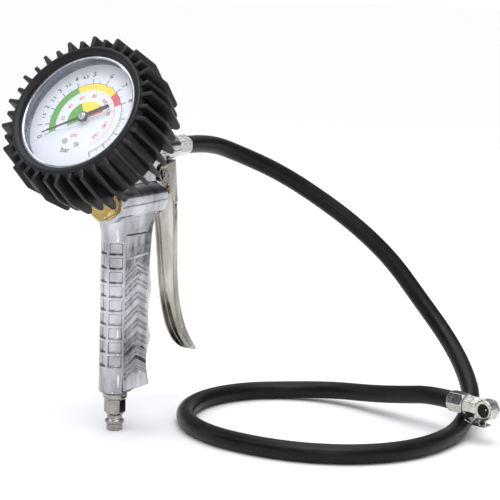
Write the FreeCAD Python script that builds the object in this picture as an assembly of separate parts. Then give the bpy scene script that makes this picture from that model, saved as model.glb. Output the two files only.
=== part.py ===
import FreeCAD, Part
import os
from math import atan2, cos, degrees, pi, radians, sin, sqrt, tan

os.makedirs("parts", exist_ok=True)
V = FreeCAD.Vector

# ---------------------------------------------------------------- driving dimensions, millimetres
# The frame: origin at the centre of the inlet plug's tip face, +Z up along the grip's front tube,
# +X from the dial towards the lever and the hose, +Y to the far side.

# inlet plug (DN 7.2 quick coupling)
PLUG_NOSE_R = 5.0
PLUG_RIDGE_R = 6.0
PLUG_GROOVE_R = 4.7
PLUG_BORE_R = 3.2
PLUG_HEX_AF = 11.6
PLUG_COLLAR_R = 7.6
PLUG_SHOULDER_Z = 24.0
INLET_THREAD_R = 6.4
INLET_THREAD_LENGTH = 11.0

# grip
GRIP_BOTTOM_Z = 24.6
GRIP_TUBE_R = 9.8
GRIP_HALF_WIDTH = 9.1
GRIP_FRONT_X = -4.9
GRIP_BORE_R = 4.0
WINDOW_COUNT = 9
WINDOW_PITCH = 8.7
WINDOW_TOP_Z = 114.5
WINDOW_HEIGHT = 6.4
WINDOW_DEPTH = 1.3
WINDOW_HALF_ANGLE = 57.0
PARTING_RIDGE = 0.8
CHEVRON_COUNT = 8
CHEVRON_TOP_Z = 104.5
CHEVRON_LINE = 0.9
CHEVRON_DEPTH = 0.7

# valve chamber across the top of the grip
CHAMBER_Z = 143.0
CHAMBER_R = 13.0
CHAMBER_FRONT_X = -14.0
CHAMBER_BACK_X = 36.0
CHAMBER_BORE_R = 8.0
CHAMBER_BORE_END_X = 17.0
RISER_X = 20.6
GUIDE_R = 5.5
STEM_R = 2.5
STEM_CLEARANCE = 0.06

# gauge: dial tilted back, facing -X and up
GAUGE_CENTRE = V(-43.0, 0.0, 199.0)
GAUGE_TILT = 33.0
BEZEL_R = 40.0
BEZEL_LIP_R = 35.5
LENS_THICKNESS = 1.7
CASE_R = 39.2
CASE_WALL = 0.9
CASE_BACK = -31.0
DIAL_FACE = -9.0
SOCKET_FACE = -41.0
DIAL_R = 36.6
POINTER_PLANE = -5.8
POINTER_LENGTH = 27.0
POINTER_TAIL = 17.5

# rubber boot round the gauge
BOOT_OPENING_R = 36.9
BOOT_BASE_R = 41.6
FIN_COUNT = 36

# hose outlet and hose
OUTLET_Z = 171.5
OUTLET_END_X = 59.0
OUTLET_HEX_START, HOSE_START_X = 61.0, 75.0
OUTLET_HEX_AF = 12.0
HOSE_R = 5.75
HOSE_BORE_R = 3.5

# squeeze lever
PIVOT_X = 36.4
PIVOT_Z = 156.8
PIN_R = 2.0
LEVER_SHEET = 1.2
EAR_HALF_WIDTH = 9.2

# chuck on the hose end
CHUCK_START = V(112.2, -177.1, 22.3)
CHUCK_HEADING = -105.9
CHUCK_DIRECTION = V(cos(radians(CHUCK_HEADING)), sin(radians(CHUCK_HEADING)), 0)
CHUCK_BORE_R = 4.2


# ---------------------------------------------------------------- helpers
def export(shape, node):
    solids = shape.Solids
    result = solids[0] if len(solids) == 1 else Part.makeCompound(solids)
    for solid in solids:
        assert solid.isValid(), node
    result.exportStep("parts/" + node + ".step")
    print("%-22s solids %d  volume %9.1f" % (node, len(solids), result.Volume))


def fused(shapes):
    return shapes[0].multiFuse(shapes[1:]).removeSplitter()


def rod(start, end, radius):
    along = end - start
    return Part.makeCylinder(radius, along.Length, start, along)


def cone(start, end, radius_start, radius_end):
    along = end - start
    return Part.makeCone(radius_start, radius_end, along.Length, start, along)


def turned(profile):
    """Solid of revolution about Z from (radius, z) points."""
    points = [V(r, 0, z) for r, z in profile]
    face = Part.Face(Part.makePolygon(points + points[:1]))
    return face.revolve(V(0, 0, 0), V(0, 0, 1), 360)


def hexagon(across_flats, z_low, z_high, chamfer=0.0):
    """Hexagonal bar about Z with its corners turned down at both ends."""
    corner_r = across_flats / sqrt(3)
    corners = [V(corner_r * cos(k * pi / 3), corner_r * sin(k * pi / 3), z_low) for k in range(7)]
    bar = Part.Face(Part.makePolygon(corners)).extrude(V(0, 0, z_high - z_low))
    if chamfer:
        inner = across_flats / 2 * 0.96
        turned_down = turned([(0, z_low), (inner, z_low), (corner_r, z_low + chamfer),
                              (corner_r, z_high - chamfer), (inner, z_high), (0, z_high)])
        bar = bar.common(turned_down)
    return bar


def side_plate(outline, y_low, y_high):
    """Prism of an XZ outline between two Y planes; the outline is a closed wire or points."""
    wire = outline if isinstance(outline, Part.Wire) else polygon_xz(outline)
    face = Part.Face(wire)
    face.translate(V(0, y_low, 0))
    return face.extrude(V(0, y_high - y_low, 0))


def polygon_xz(points):
    corners = [V(x, 0, z) for x, z in points]
    return Part.makePolygon(corners + corners[:1])


def smooth_edge(points):
    """Smooth curve in the XZ plane through the given points."""
    curve = Part.BSplineCurve()
    curve.interpolate([V(x, 0, z) for x, z in points])
    return curve.toShape()


def closed_by_lines(edges):
    """Closes a chain of edges with straight lines between their loose ends."""
    chain = []
    for edge, following in zip(edges, edges[1:] + edges[:1]):
        chain.append(edge)
        end, start = edge.Vertexes[-1].Point, following.Vertexes[0].Point
        if (end - start).Length > 1e-6:
            chain.append(Part.makeLine(end, start))
    return Part.Wire(chain)


def frame_placement(origin, x_axis, z_axis):
    z = V(z_axis).normalize()
    y = z.cross(x_axis).normalize()
    x = y.cross(z)
    matrix = FreeCAD.Matrix(x.x, y.x, z.x, origin.x, x.y, y.y, z.y, origin.y,
                            x.z, y.z, z.z, origin.z, 0, 0, 0, 1)
    return FreeCAD.Placement(matrix)


def placed(shape, placement):
    moved = shape.copy()
    moved.Placement = placement.multiply(moved.Placement)
    return moved


# Gauge frame: x to the dial's right, y to its top, z out of its face, 0 at the bezel's front.
DIAL_NORMAL = V(-cos(radians(GAUGE_TILT)), 0, sin(radians(GAUGE_TILT)))
GAUGE_PLACE = frame_placement(GAUGE_CENTRE, V(0, -1, 0), DIAL_NORMAL)


def gauge_point(z):
    return GAUGE_CENTRE + DIAL_NORMAL * z


# ---------------------------------------------------------------- inlet plug
def air_inlet_plug():
    body = turned([(PLUG_BORE_R, 0), (PLUG_NOSE_R - 0.3, 0), (PLUG_NOSE_R, 0.3), (PLUG_NOSE_R, 4.0),
                   (PLUG_RIDGE_R, 4.8), (PLUG_RIDGE_R, 6.2), (PLUG_GROOVE_R, 7.4),
                   (PLUG_GROOVE_R, 9.6), (PLUG_HEX_AF / 2, 11.0), (PLUG_HEX_AF / 2, 20.0),
                   (PLUG_COLLAR_R - 0.6, 20.4), (PLUG_COLLAR_R, 21.0), (PLUG_COLLAR_R, 23.4),
                   (PLUG_COLLAR_R - 0.6, PLUG_SHOULDER_Z), (INLET_THREAD_R, PLUG_SHOULDER_Z),
                   (INLET_THREAD_R, PLUG_SHOULDER_Z + INLET_THREAD_LENGTH - 1),
                   (INLET_THREAD_R - 1, PLUG_SHOULDER_Z + INLET_THREAD_LENGTH),
                   (PLUG_BORE_R, PLUG_SHOULDER_Z + INLET_THREAD_LENGTH)])
    flats = hexagon(PLUG_HEX_AF, 10.8, 20.2, 0.8).cut(Part.makeCylinder(PLUG_BORE_R, 30))
    return fused([body, flats])


def inlet_seal():
    return turned([(INLET_THREAD_R + 0.1, PLUG_SHOULDER_Z), (PLUG_COLLAR_R - 0.2, PLUG_SHOULDER_Z),
                   (PLUG_COLLAR_R - 0.2, GRIP_BOTTOM_Z), (INLET_THREAD_R + 0.1, GRIP_BOTTOM_Z)])


# ---------------------------------------------------------------- grip casting
FINGER_EDGE = [(25.6, 25.2), (22.4, 36.5), (23.0, 47.5), (25.9, 55.5), (24.4, 61.5), (23.6, 69.0),
               (24.2, 77.5), (26.1, 86.5), (24.6, 95.0), (24.9, 110.0), (26.2, 121.0), (31.0, 133.0)]


def grip_panel():
    """Flat-sided rear part of the grip with its wavy finger edge."""
    finger = smooth_edge(FINGER_EDGE)
    top = Part.makeLine(V(32.0, 0, 143.0), V(GRIP_FRONT_X, 0, 143.0))
    front = Part.makeLine(V(GRIP_FRONT_X, 0, 139.0), V(GRIP_FRONT_X, 0, GRIP_BOTTOM_Z + 1.2))
    panel = side_plate(closed_by_lines([finger, top, front]), -GRIP_HALF_WIDTH, GRIP_HALF_WIDTH)
    finger_edges = [edge for edge in panel.Edges
                    if not isinstance(edge.Curve, Part.Line) and edge.Length > 90]
    return panel.makeFillet(2.2, finger_edges)


def front_tube():
    """Round front of the grip between its flat sides, slightly slimmer where the palm holds it."""
    tube = turned([(0, GRIP_BOTTOM_Z), (GRIP_TUBE_R + 0.2, GRIP_BOTTOM_Z), (GRIP_TUBE_R + 0.6, 26.0),
                   (GRIP_TUBE_R + 0.4, 38.0), (GRIP_TUBE_R + 0.1, 60.0), (GRIP_TUBE_R - 0.1, 90.0),
                   (GRIP_TUBE_R, 118.0), (GRIP_TUBE_R + 1.0, 136.0), (GRIP_TUBE_R + 1.0, 146.0),
                   (0, 146.0)])
    half = GRIP_HALF_WIDTH - 0.3
    return tube.common(Part.makeBox(40.0, 2 * half, 200.0, V(-20.0, -half, 0)))


def windows():
    """Two columns of shallow recesses round the front of the grip, either side of a ridge."""
    cutters = []
    for index in range(WINDOW_COUNT):
        z = WINDOW_TOP_Z - index * WINDOW_PITCH
        outer_r = GRIP_TUBE_R + 3
        ring = turned([(GRIP_TUBE_R - 0.4 - WINDOW_DEPTH, z - WINDOW_HEIGHT / 2),
                       (outer_r, z - WINDOW_HEIGHT / 2 - 0.6), (outer_r, z + WINDOW_HEIGHT / 2 + 0.6),
                       (GRIP_TUBE_R - 0.4 - WINDOW_DEPTH, z + WINDOW_HEIGHT / 2)])
        reach = outer_r * 1.5
        half = radians(WINDOW_HALF_ANGLE)
        for side in (-1, 1):
            ridge = side * PARTING_RIDGE
            corners = [V(-1, ridge, 0), V(-reach * cos(half), side * reach * sin(half), 0),
                       V(-reach * 1.5, ridge, 0), V(-1, ridge, 0)]
            wedge = Part.Face(Part.makePolygon(corners)).extrude(V(0, 0, 200))
            cutters.append(ring.common(wedge))
    return cutters


def chevrons():
    """Double lines cut in both side panels, each pointing up."""
    cutters = []
    apex_x = 9.0
    for index in range(CHEVRON_COUNT):
        for shift in (0.0, 3.0):
            z = CHEVRON_TOP_Z - index * WINDOW_PITCH - shift
            left_x, right_x = GRIP_FRONT_X + 0.8, 20.0
            left_z = z - (apex_x - left_x) * 0.47
            right_z = z - (right_x - apex_x) * 0.50
            stroke = [(left_x, left_z), (apex_x, z), (right_x, right_z), (right_x, right_z - CHEVRON_LINE),
                      (apex_x, z - CHEVRON_LINE * 1.3), (left_x, left_z - CHEVRON_LINE * 1.3)]
            for side in (-1, 1):
                depth = GRIP_HALF_WIDTH - CHEVRON_DEPTH
                cutters.append(side_plate(stroke, side * depth, side * (GRIP_HALF_WIDTH + 1.5)))
    return cutters


def name_pads():
    """Blank raised pad near the top of each side panel."""
    pads = []
    for side in (-1, 1):
        low, high = sorted((side * (GRIP_HALF_WIDTH - 0.5), side * (GRIP_HALF_WIDTH + 1.1)))
        pad = side_plate([(-3.0, 108.4), (19.6, 109.4), (19.2, 122.1), (-3.4, 122.8)], low, high)
        pads.append(pad)
    return pads


def grip_casting():
    """Die-cast body: grip, valve chamber, gauge boss, hose boss and lever lug, with its bores."""
    chamber = rod(V(CHAMBER_FRONT_X, 0, CHAMBER_Z), V(CHAMBER_BACK_X, 0, CHAMBER_Z), CHAMBER_R)
    neck = side_plate([(-10.0, 136.0), (-6.0, 124.0), (27.0, 127.0), (35.0, 141.0), (35.0, 150.0),
                       (-10.0, 150.0)], -8.6, 8.6)
    head = side_plate([(-10.0, 150.0), (-11.5, 160.0), (-4.0, 177.0), (8.0, 184.0), (24.0, 182.0),
                       (40.0, 179.5), (40.0, 163.5), (30.0, 160.0), (30.0, 150.0)], -8.4, 8.4)
    lug = fused([rod(V(PIVOT_X, -6.6, PIVOT_Z), V(PIVOT_X, 6.6, PIVOT_Z), 5.0),
                 side_plate([(22.0, 151.8), (PIVOT_X, 151.8), (PIVOT_X + 4.0, 160.0),
                             (PIVOT_X + 2.0, 166.0), (22.0, 166.0)], -6.6, 6.6)])
    gauge_boss = rod(gauge_point(SOCKET_FACE - 0.6), gauge_point(-70.0), 11.0)
    hose_boss = cone(V(14.0, 0, OUTLET_Z), V(OUTLET_END_X, 0, OUTLET_Z), 11.0, 7.6)
    ear_slots = []
    for side in (-1, 1):
        low, high = sorted((side * 6.7, side * 20.0))
        ear_slots.append(rod(V(PIVOT_X, low, PIVOT_Z), V(PIVOT_X, high, PIVOT_Z), 8.2))
    body = fused([chamber, neck, head, gauge_boss, hose_boss])
    body = body.cut(Part.makeCompound(ear_slots))
    body = fused([body, lug, grip_panel(), front_tube()] + name_pads())
    bores = [rod(V(0, 0, 0), V(0, 0, GRIP_BOTTOM_Z + INLET_THREAD_LENGTH + 0.5), INLET_THREAD_R),
             rod(V(0, 0, 30), V(0, 0, CHAMBER_Z), GRIP_BORE_R),
             rod(V(-30, 0, CHAMBER_Z), V(CHAMBER_BORE_END_X, 0, CHAMBER_Z), CHAMBER_BORE_R),
             rod(V(CHAMBER_BORE_END_X, 0, CHAMBER_Z), V(40, 0, CHAMBER_Z), 3.4),
             rod(V(24.0, 0, CHAMBER_Z), V(40, 0, CHAMBER_Z), GUIDE_R),
             rod(V(RISER_X, 0, CHAMBER_Z), V(RISER_X, 0, OUTLET_Z), 2.4),
             rod(V(RISER_X - 3.0, 0, OUTLET_Z), V(46.0, 0, OUTLET_Z), 3.0),
             rod(V(OUTLET_END_X - 17.0, 0, OUTLET_Z), V(70.0, 0, OUTLET_Z), 5.0),
             rod(gauge_point(SOCKET_FACE + 5.0), gauge_point(SOCKET_FACE - 12.5), 5.0),
             rod(gauge_point(SOCKET_FACE - 12.0), gauge_point(-78.0), 1.5),
             rod(V(PIVOT_X, -20, PIVOT_Z), V(PIVOT_X, 20, PIVOT_Z), PIN_R),
             Part.makeBox(9.0, 24.0, 16.0, V(45.6, -12.0, 150.0))]
    return body.cut(Part.makeCompound(bores + windows() + chevrons()))


# ---------------------------------------------------------------- valve in the chamber
SEAT_X = CHAMBER_BORE_END_X


def along_x(shape):
    """Turns a shape made about +Z so that it lies about +X on the chamber's axis."""
    moved = shape.copy()
    moved.Placement = FreeCAD.Placement(V(0, 0, CHAMBER_Z), FreeCAD.Rotation(V(0, 1, 0), 90))
    return moved


def valve_cap():
    """Brass hexagon plug that closes the chamber's front end; its bore holds the spring."""
    hexagonal = hexagon(19.2, CHAMBER_FRONT_X - 4.8, CHAMBER_FRONT_X - 1.6, 0.6)
    flange = Part.makeCylinder(10.6, 1.6, V(0, 0, CHAMBER_FRONT_X - 1.6))
    plug = Part.makeCylinder(CHAMBER_BORE_R - 0.02, 9.0, V(0, 0, CHAMBER_FRONT_X))
    spring_bore = Part.makeCylinder(5.0, 13.0, V(0, 0, CHAMBER_FRONT_X - 2.0))
    inner, outer = CHAMBER_BORE_R - 1.3, CHAMBER_BORE_R + 1
    low, high = CHAMBER_FRONT_X + 4.0, CHAMBER_FRONT_X + 6.2
    groove = turned([(inner, low), (outer, low), (outer, high), (inner, high)])
    return along_x(fused([hexagonal, flange, plug]).cut(spring_bore).cut(groove))


def ring(section_r, centre_r, z):
    return Part.makeTorus(centre_r, section_r, V(0, 0, z))


def valve_cap_o_ring():
    return along_x(ring(0.6, CHAMBER_BORE_R - 0.66, CHAMBER_FRONT_X + 5.1))


def valve_stem():
    """Stem from the spring through the seat and the guide to the lever."""
    stem_end = LEVER_CONTACT_X
    stem = turned([(0, -6.0), (3.4, -6.0), (3.4, 2.0), (6.5, 2.0), (6.5, 6.0), (1.8, 6.0),
                   (1.8, 21.0), (STEM_R, 22.0), (STEM_R, 29.0), (1.6, 29.0), (1.6, 30.8),
                   (STEM_R, 30.8), (STEM_R, stem_end - 1.2), (STEM_R - 1.0, stem_end), (0, stem_end)])
    return along_x(stem)


def poppet_seal():
    return along_x(turned([(1.85, 6.0), (6.2, 6.0), (6.2, 8.4), (1.85, 8.4)]))


def valve_seat():
    """Brass seat ring pressed against the step at the chamber bore's end."""
    return along_x(turned([(2.8, 8.9), (3.6, 8.6), (3.9, 8.9), (3.9, 10.0), (CHAMBER_BORE_R - 0.02, 10.0),
                           (CHAMBER_BORE_R - 0.02, SEAT_X), (2.8, SEAT_X)]))


def stem_guide():
    """Brass bush that guides the stem at the lever end of the chamber."""
    bore = STEM_R + STEM_CLEARANCE
    return along_x(turned([(bore, 24.0), (GUIDE_R, 24.0), (GUIDE_R, CHAMBER_BACK_X), (6.6, CHAMBER_BACK_X),
                           (6.6, CHAMBER_BACK_X + 1.6), (bore + 0.6, CHAMBER_BACK_X + 1.6), (bore, 37.0)]))


def stem_o_ring():
    return along_x(ring(0.43, 2.06, 29.9))


def coil(radius, wire_r, z_low, z_high, turns):
    """Compression spring about Z with its coils as one swept helix."""
    pitch = (z_high - z_low - 2 * wire_r) / turns
    helix = Part.makeHelix(pitch, z_high - z_low - 2 * wire_r, radius)
    helix.translate(V(0, 0, z_low + wire_r))
    start = helix.Vertexes[0].Point
    section = Part.Wire(Part.makeCircle(wire_r, start, V(0, 1, 0)))
    return Part.Wire(helix.Edges).makePipeShell([section], True, True)


def valve_spring():
    return along_x(coil(4.1, 0.5, CHAMBER_FRONT_X - 2.0, 2.0, 7))


# ---------------------------------------------------------------- squeeze lever
WEB_LINE = [(49.4, 165.0), (50.8, 152.7), (54.2, 136.0), (56.8, 118.0), (59.0, 95.0), (61.2, 81.0),
            (65.4, 67.0), (71.4, 54.0), (78.0, 45.0), (84.6, 38.4), (88.6, 35.0)]
FLANGE_DEPTH = [18.0, 5.0, 4.2, 4.0, 4.4, 5.0, 5.6, 5.6, 4.8, 3.0, 0.9]
HALF_WIDTHS = [(165.0, 9.2), (148.0, 9.2), (122.0, 7.6), (95.0, 6.6), (67.0, 6.0), (45.0, 5.9),
               (38.5, 5.6), (36.2, 4.6), (34.6, 2.8)]
LEVER_CONTACT_X = 51.05


def offset_line(points, distance):
    """Points of a line moved sideways, towards the grip for a positive distance."""
    moved = []
    for index, (x, z) in enumerate(points):
        before = points[max(index - 1, 0)]
        after = points[min(index + 1, len(points) - 1)]
        dx, dz = after[0] - before[0], after[1] - before[1]
        length = sqrt(dx * dx + dz * dz)
        step = distance[index] if isinstance(distance, list) else distance
        moved.append((x + dz / length * step, z - dx / length * step))
    return moved


def width_block(half_widths, inset):
    """Block that gives the lever its width at each height, seen from behind."""
    right = [V(0, half - inset, z) for z, half in half_widths]
    left = [V(0, inset - half, z) for z, half in reversed(half_widths)]
    face = Part.Face(Part.makePolygon(right + left + right[:1]))
    return face.extrude(V(120, 0, 0))


def trigger_lever():
    """Pressed-steel channel: web behind, a flange each side, ears round the pivot pin."""
    web = smooth_edge(WEB_LINE)
    flange_line = offset_line(WEB_LINE, FLANGE_DEPTH)
    flange = smooth_edge(list(reversed(flange_line[1:])))
    body = side_plate(closed_by_lines([web, flange]), -12.0, 12.0)
    top, bottom = HALF_WIDTHS[0][0] + 2, HALF_WIDTHS[-1][0] - 3
    outline = [(top, HALF_WIDTHS[0][1])] + HALF_WIDTHS[1:-1] + [(bottom, HALF_WIDTHS[-1][1])]
    outer = body.common(width_block(outline, 0.0))
    ears = side_plate([(50.2, 164.8), (PIVOT_X + 3.0, 162.6), (PIVOT_X - 2.0, 161.9), (PIVOT_X - 4.4, 159.4),
                       (PIVOT_X - 4.6, 155.6), (PIVOT_X - 2.6, 152.6), (PIVOT_X + 1.0, 151.6),
                       (42.2, 149.8), (45.0, 146.8), (47.0, 142.6), (49.2, 137.4), (53.6, 137.4)],
                      -EAR_HALF_WIDTH, EAR_HALF_WIDTH)
    hollow_web = smooth_edge(offset_line(WEB_LINE[:-1], LEVER_SHEET))
    far = Part.makePolygon([V(90, 0, 20), V(0, 0, 20), V(0, 0, 175), V(46, 0, 175)])
    hollow = side_plate(closed_by_lines([hollow_web] + [far]), -12.0, 12.0)
    hollow = hollow.common(width_block(outline, LEVER_SHEET))
    pin_hole = rod(V(PIVOT_X, -12, PIVOT_Z), V(PIVOT_X, 12, PIVOT_Z), PIN_R + 0.05)
    return fused([outer, ears]).cut(hollow).cut(pin_hole)


def pivot_pin():
    half = EAR_HALF_WIDTH + 2.2
    pin = turned([(0, -half), (PIN_R - 0.4, -half), (PIN_R, 0.4 - half), (PIN_R, 0.7 - half),
                  (PIN_R - 0.5, 0.7 - half), (PIN_R - 0.5, 1.4 - half), (PIN_R, 1.4 - half),
                  (PIN_R, half - 1.4), (PIN_R - 0.5, half - 1.4), (PIN_R - 0.5, half - 0.7),
                  (PIN_R, half - 0.7), (PIN_R, half - 0.4), (PIN_R - 0.4, half), (0, half)])
    pin.Placement = FreeCAD.Placement(V(PIVOT_X, 0, PIVOT_Z), FreeCAD.Rotation(V(1, 0, 0), 90))
    return pin


def pivot_clips():
    """E-clips in the grooves at both ends of the pivot pin."""
    half = EAR_HALF_WIDTH + 2.2
    clips = []
    for low in (0.75 - half, half - 1.35):
        clip = Part.makeCylinder(3.7, 0.6, V(0, 0, low))
        clip = clip.cut(Part.makeCylinder(PIN_R - 0.5, 1, V(0, 0, low - 0.1)))
        mouth = Part.makeBox(2.4, 5.0, 1.0, V(-1.2, 0, low - 0.2))
        notches = [Part.makeCylinder(0.9, 1, V(s * 2.4, -1.2, low - 0.1)) for s in (-1, 1)]
        clips.append(clip.cut(Part.makeCompound([mouth] + notches)))
    pair = Part.makeCompound(clips)
    pair.Placement = FreeCAD.Placement(V(PIVOT_X, 0, PIVOT_Z), FreeCAD.Rotation(V(1, 0, 0), 90))
    return pair


# ---------------------------------------------------------------- gauge
def gauge_bezel():
    return turned([(BEZEL_LIP_R, -0.9), (BEZEL_LIP_R, -0.3), (BEZEL_LIP_R + 0.5, 0), (BEZEL_R - 0.8, 0),
                   (BEZEL_R, -0.8), (BEZEL_R, -9.0), (CASE_R + 0.05, -9.0), (CASE_R + 0.05, -0.9)])


def gauge_lens():
    return turned([(0, -0.9), (CASE_R - 0.3, -0.9), (CASE_R - 0.3, -0.9 - LENS_THICKNESS),
                   (0, -0.9 - LENS_THICKNESS)])


def lens_gasket():
    top = -0.9 - LENS_THICKNESS
    return turned([(CASE_R - 1.6, top), (CASE_R - 0.3, top), (CASE_R - 0.3, top - 1.0), (CASE_R - 1.6, top - 1.0)])


CASE_FRONT = -0.9 - LENS_THICKNESS - 1.0
SOCKET_R = 6.0


def gauge_case():
    inner = CASE_R - CASE_WALL
    shell = turned([(inner, CASE_FRONT), (CASE_R, CASE_FRONT), (CASE_R, CASE_BACK + 2.0),
                    (CASE_R - 2.0, CASE_BACK), (SOCKET_R, CASE_BACK), (SOCKET_R, CASE_BACK + 1.0),
                    (inner - 1.4, CASE_BACK + 1.0), (inner, CASE_BACK + 2.4)])
    shelf = turned([(DIAL_R - 2.2, DIAL_FACE - 0.8), (inner + 0.3, DIAL_FACE - 0.8), (inner + 0.3, DIAL_FACE - 1.6),
                    (DIAL_R - 2.2, DIAL_FACE - 1.6)])
    return fused([shell, shelf])


DIAL_SCREWS = [(-8.1, -15.2), (0.6, -16.8)]


def dial_plate():
    plate = turned([(1.6, DIAL_FACE), (DIAL_R, DIAL_FACE), (DIAL_R, DIAL_FACE - 0.8), (1.6, DIAL_FACE - 0.8)])
    holes = [Part.makeCylinder(1.0, 4, V(x, y, DIAL_FACE - 2)) for x, y in DIAL_SCREWS]
    return plate.cut(Part.makeCompound(holes))


def dial_screws():
    """Two small slotted screws from the dial into the movement's pillars."""
    screws = []
    for x, y in DIAL_SCREWS:
        screw = turned([(0, DIAL_FACE + 0.5), (1.7, DIAL_FACE + 0.5), (1.9, DIAL_FACE), (0.95, DIAL_FACE),
                        (0.95, DIAL_FACE - 3.4), (0, DIAL_FACE - 3.4)])
        screw.translate(V(x, y, 0))
        slot = Part.makeBox(4.4, 0.5, 0.4, V(x - 2.2, y - 0.25, DIAL_FACE + 0.2))
        screws.append(screw.cut(slot))
    return Part.makeCompound(screws)


# Movement: pinion on the dial's axis, toothed sector to its right, driven by a link from the tube's tip.
MODULE = 0.4
PINION_TEETH = 10
SECTOR_RATIO = 8
PINION_R = MODULE * PINION_TEETH / 2
SECTOR_R = PINION_R * SECTOR_RATIO
SECTOR_X = PINION_R + SECTOR_R
GEAR_LOW, GEAR_HIGH = -16.6, -15.6
PLATE_BACK, PLATE_FRONT = -20.0, -12.9
PLATE_THICKNESS = 1.0
ARBOR_R = 0.6
BEARING_R = ARBOR_R + 0.05
TAIL_LENGTH, TAIL_ANGLE = 8.0, -100.0
TUBE_R, TUBE_LOW, TUBE_HIGH = 28.0, -27.8, -20.5
TIP_ANGLE, ROOT_ANGLE = -14.0, -110.0
REST_POINTER_ANGLE = 207.5


def polar(radius, angle, centre_x=0.0, z=0.0):
    return V(centre_x + radius * cos(radians(angle)), radius * sin(radians(angle)), z)


TAIL_PIN = polar(TAIL_LENGTH, TAIL_ANGLE, SECTOR_X)
TIP_PIN = polar(TUBE_R, TIP_ANGLE)


def flat(points, z_low, z_high):
    """Prism of a closed outline in the dial's plane."""
    corners = [V(p.x, p.y, z_low) for p in points]
    return Part.Face(Part.makePolygon(corners + corners[:1])).extrude(V(0, 0, z_high - z_low))


def post(centre, radius, z_low, z_high):
    return Part.makeCylinder(radius, z_high - z_low, V(centre.x, centre.y, z_low))


def gear_outline(teeth_in_full_turn, pitch_r, first, last):
    """Corners of the straight-flanked teeth first..last-1, tooth 0 centred on +X."""
    step = 360.0 / teeth_in_full_turn
    root_r, tip_r = pitch_r - 0.9 * MODULE, pitch_r + 0.55 * MODULE
    tooth = ((-0.36, root_r), (-0.13, tip_r), (0.13, tip_r), (0.36, root_r))
    return [polar(radius, (number + share) * step) for number in range(first, last) for share, radius in tooth]


def pinion_arbor():
    """Pinion cut on its arbor, which turns in both plates and carries the pointer."""
    gear = flat(gear_outline(PINION_TEETH, PINION_R, 0, PINION_TEETH), GEAR_LOW - 0.6, GEAR_HIGH + 0.6)
    arbor = turned([(0, PLATE_BACK - 0.4), (ARBOR_R, PLATE_BACK - 0.4), (ARBOR_R, PLATE_BACK + 1.4),
                    (1.0, PLATE_BACK + 1.4), (1.0, PLATE_FRONT - 0.4), (ARBOR_R, PLATE_FRONT - 0.4),
                    (ARBOR_R, POINTER_PLANE + 0.9), (0, POINTER_PLANE + 0.9)])
    return fused([gear, arbor])


def pointer():
    """Slim needle with a heavy tail and a turned hub cap, at the dial's zero."""
    side = [(POINTER_LENGTH, 0.0), (POINTER_LENGTH - 1.2, 0.3), (6.0, 0.75), (0.0, 1.0), (-5.0, 1.2),
            (1.0 - POINTER_TAIL, 1.5), (-POINTER_TAIL, 1.0)]
    outline = [V(x, y, 0) for x, y in side] + [V(x, -y, 0) for x, y in reversed(side[1:])]
    blade = flat(outline, POINTER_PLANE - 0.3, POINTER_PLANE + 0.3)
    hub = turned([(0, POINTER_PLANE + 1.5), (1.5, POINTER_PLANE + 1.5), (2.1, POINTER_PLANE + 1.1),
                  (2.9, POINTER_PLANE + 0.8), (2.9, POINTER_PLANE - 0.9), (0, POINTER_PLANE - 0.9)])
    whole = fused([blade, hub]).cut(post(V(0, 0, 0), ARBOR_R, POINTER_PLANE - 1.0, POINTER_PLANE + 0.9))
    whole.rotate(V(0, 0, 0), V(0, 0, 1), REST_POINTER_ANGLE)
    return whole


def sector_gear():
    """Toothed sector on its own arbor, with the tail that the link pulls."""
    teeth_total = PINION_TEETH * SECTOR_RATIO
    step = 360.0 / teeth_total
    outline = gear_outline(teeth_total, SECTOR_R, -9, 2) + [polar(1.5, 90), polar(1.5, -120)]
    wedge = flat(outline, GEAR_LOW, GEAR_HIGH)
    wedge.rotate(V(0, 0, 0), V(0, 0, 1), 180 + step / 2)
    wedge.translate(V(SECTOR_X, 0, 0))
    centre = V(SECTOR_X, 0, 0)
    across = polar(1.3, TAIL_ANGLE + 90)
    tail = flat([centre + across, TAIL_PIN + across, TAIL_PIN - across, centre - across], GEAR_LOW, GEAR_HIGH)
    return fused([wedge, tail, post(TAIL_PIN, 1.3, GEAR_LOW, GEAR_HIGH), post(TAIL_PIN, 0.5, GEAR_LOW, -14.1),
                  post(centre, ARBOR_R, PLATE_BACK - 0.4, PLATE_FRONT + 1.4),
                  post(centre, 1.8, PLATE_BACK + 1.4, GEAR_HIGH + 0.8)])


def movement_link():
    """Flat link from the sector's tail to the tube's tip; its outer hole is a long slot."""
    low, high = -15.3, -14.5
    along = TIP_PIN - TAIL_PIN
    length = along.Length
    along = V(along).normalize()
    across = V(-along.y, along.x, 0)
    end = TIP_PIN + along * 0.4
    start = TAIL_PIN
    bar = flat([start + across * 1.6, end + across * 1.6, end - across * 1.6, start - across * 1.6], low, high)
    slot_start = TAIL_PIN + along * (length - 5.6)
    slot = flat([slot_start + across * 0.85, TIP_PIN + across * 0.85, TIP_PIN - across * 0.85,
                 slot_start - across * 0.85], low - 1, high + 1)
    holes = [slot, post(slot_start, 0.85, low - 1, high + 1), post(TIP_PIN, 0.85, low - 1, high + 1),
             post(TAIL_PIN, 0.56, low - 1, high + 1)]
    return fused([bar, post(start, 1.6, low, high), post(end, 1.6, low, high)]).cut(Part.makeCompound(holes))


PILLARS = [V(x, y, 0) for x, y in DIAL_SCREWS] + [V(7.0, 15.0, 0)]


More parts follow.
